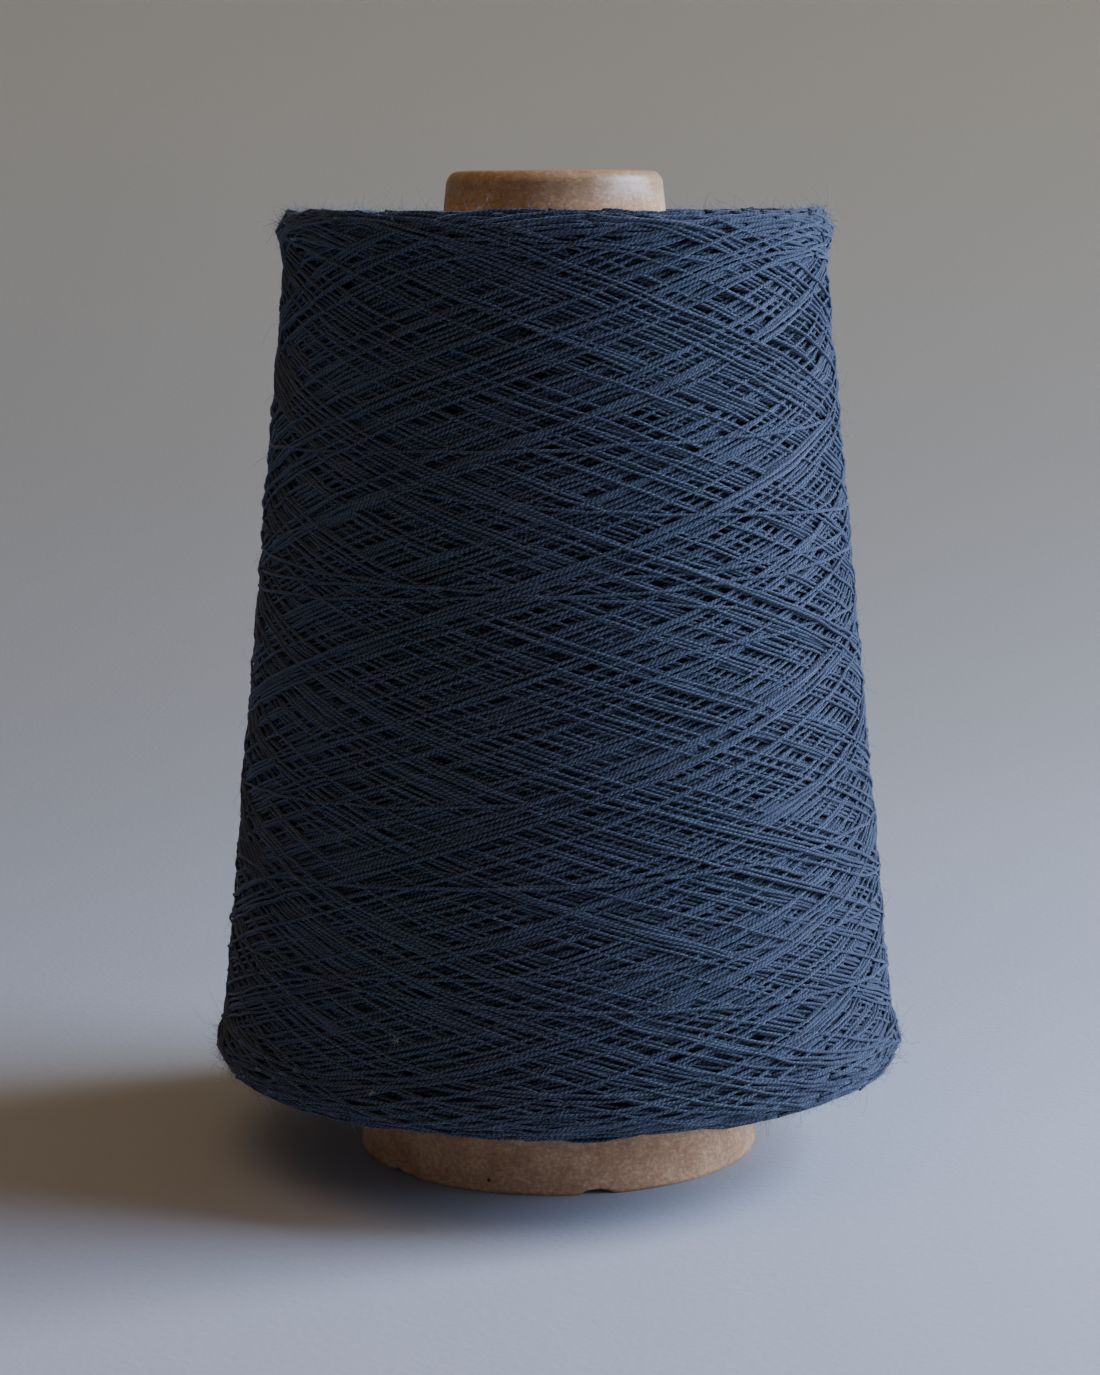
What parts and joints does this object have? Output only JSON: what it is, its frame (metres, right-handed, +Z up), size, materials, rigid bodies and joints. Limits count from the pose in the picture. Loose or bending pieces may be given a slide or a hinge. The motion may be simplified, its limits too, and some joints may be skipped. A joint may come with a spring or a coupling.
{
  "type": "yarn cone",
  "caption": "Tapered paperboard cone with a rolled-in nose, cross-wound with navy plied yarn into a thick conical package.",
  "frame": {"origin": "centre of the base rim, on the surface that the cone stands on", "axes": "+Z up along the cone's axis, from the base rim to the nose; the object is round about Z, so +X and +Y are free"},
  "size_m": [0.1204, 0.1202, 0.17],
  "materials": {
    "board_liner": "calendered kraft paper liner, smooth and matte",
    "board_core": "grey-brown core board, matte, seen only as layers at the base rim",
    "board_finish": "kraft paperboard with fine mottled fibres, matte, slightly burnished where the nose is rolled",
    "yarn_inner": "navy two-ply cotton yarn, tightly cross-wound, matte",
    "yarn_surface": "navy two-ply cotton yarn in crossing wraps, soft sheen on each twist, fine fibre fuzz"
  },
  "bodies": {
    "root": {"liner_ply": "board_liner", "core_ply_inner": "board_core", "core_ply_middle": "board_core", "core_ply_outer": "board_core", "finish_ply": "board_finish", "first_wraps": "yarn_inner", "winding_1": "yarn_inner", "winding_2": "yarn_inner", "winding_3": "yarn_inner", "winding_4": "yarn_inner", "winding_5": "yarn_inner", "winding_6": "yarn_inner", "surface_wraps": "yarn_surface"}
  },
  "joints": []
}
